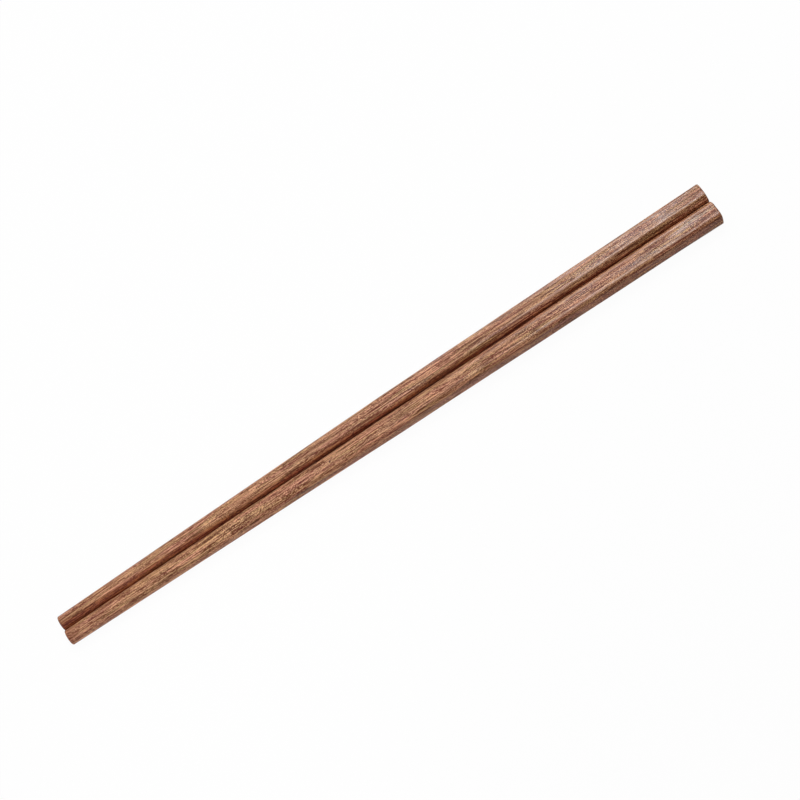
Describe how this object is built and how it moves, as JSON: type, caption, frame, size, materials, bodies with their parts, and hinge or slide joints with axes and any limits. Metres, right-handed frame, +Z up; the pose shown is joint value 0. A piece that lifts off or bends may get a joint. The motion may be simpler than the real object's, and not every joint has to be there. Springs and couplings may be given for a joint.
{
  "type": "pair of wooden chopsticks",
  "caption": "Slim tapered hardwood chopsticks lying side by side, each with a squared, planed handle that blends into a round tip, for picking up food.",
  "frame": {"origin": "on the table, in the middle of the pair's length and width", "axes": "+X from the tips to the butts, -Y towards the near stick, +Z up from the table"},
  "size_m": [0.25, 0.015, 0.0072],
  "materials": {
    "wood": "fine-grained red-brown hardwood, sanded and lightly oiled, satin"
  },
  "bodies": {
    "root": {"near_chopstick": "wood", "far_chopstick": "wood"}
  },
  "joints": []
}
